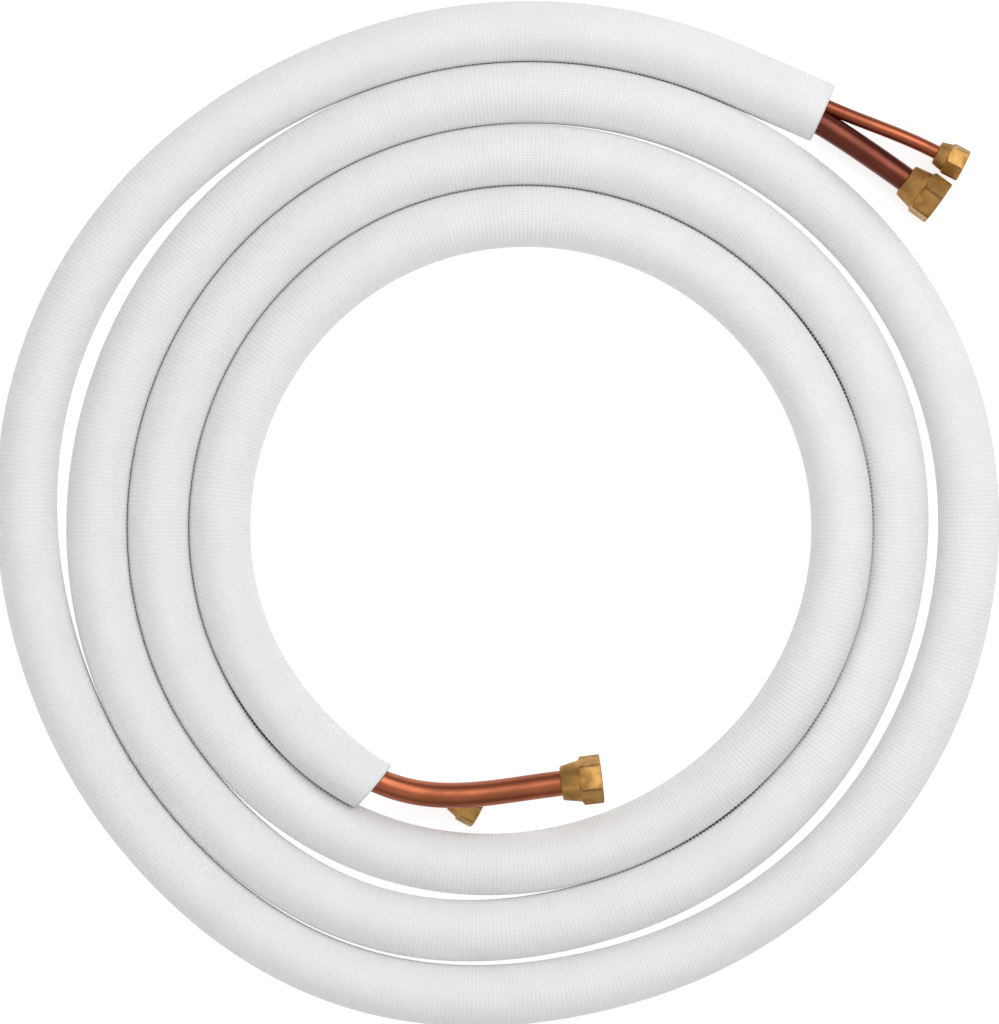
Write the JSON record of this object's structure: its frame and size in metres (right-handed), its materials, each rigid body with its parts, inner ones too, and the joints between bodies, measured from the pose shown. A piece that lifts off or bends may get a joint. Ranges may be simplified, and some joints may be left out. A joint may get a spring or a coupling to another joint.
{
  "type": "mini split line set",
  "caption": "Coil of two copper refrigerant pipes in one white foam sleeve, with a brass flare nut on each pipe end, for joining a split air conditioner's units.",
  "frame": {"origin": "on the floor at the centre of the coil", "axes": "+Z up, square to the flat coil; the outer end leaves the coil at the upper right seen from above with +Y up, and the inner end points along +X on the -Y side"},
  "size_m": [0.5676, 0.58, 0.0483],
  "materials": {
    "foam": "embossed white polyethylene foam skin",
    "copper": "soft drawn copper, slightly dulled",
    "brass": "machined and slightly tarnished"
  },
  "bodies": {
    "line": {"insulation_sleeve": "foam", "suction_pipe": "copper", "liquid_pipe": "copper"},
    "suction_nut_outer": {"suction_nut_outer": "brass"},
    "suction_nut_inner": {"suction_nut_inner": "brass"},
    "liquid_nut_outer": {"liquid_nut_outer": "brass"},
    "liquid_nut_inner": {"liquid_nut_inner": "brass"}
  },
  "joints": [
    {"name": "suction_outer_spin", "type": "hinge", "parent": "line", "child": "suction_nut_outer", "pos_m": [0.22925, 0.18773, 0.01657], "axis": [0.8075, -0.5898, 0], "continuous": true},
    {"name": "suction_inner_spin", "type": "hinge", "parent": "line", "child": "suction_nut_inner", "pos_m": [0.03447, -0.15251, 0.03137], "axis": [0.9922, 0.1198, 0.0349], "continuous": true},
    {"name": "liquid_outer_spin", "type": "hinge", "parent": "line", "child": "liquid_nut_outer", "pos_m": [0.24678, 0.20311, 0.01707], "axis": [0.8899, -0.4562, 0], "continuous": true},
    {"name": "liquid_inner_spin", "type": "hinge", "parent": "line", "child": "liquid_nut_inner", "pos_m": [-0.02703, -0.16213, 0.01197], "axis": [0.8799, -0.4701, -0.0698], "continuous": true}
  ]
}
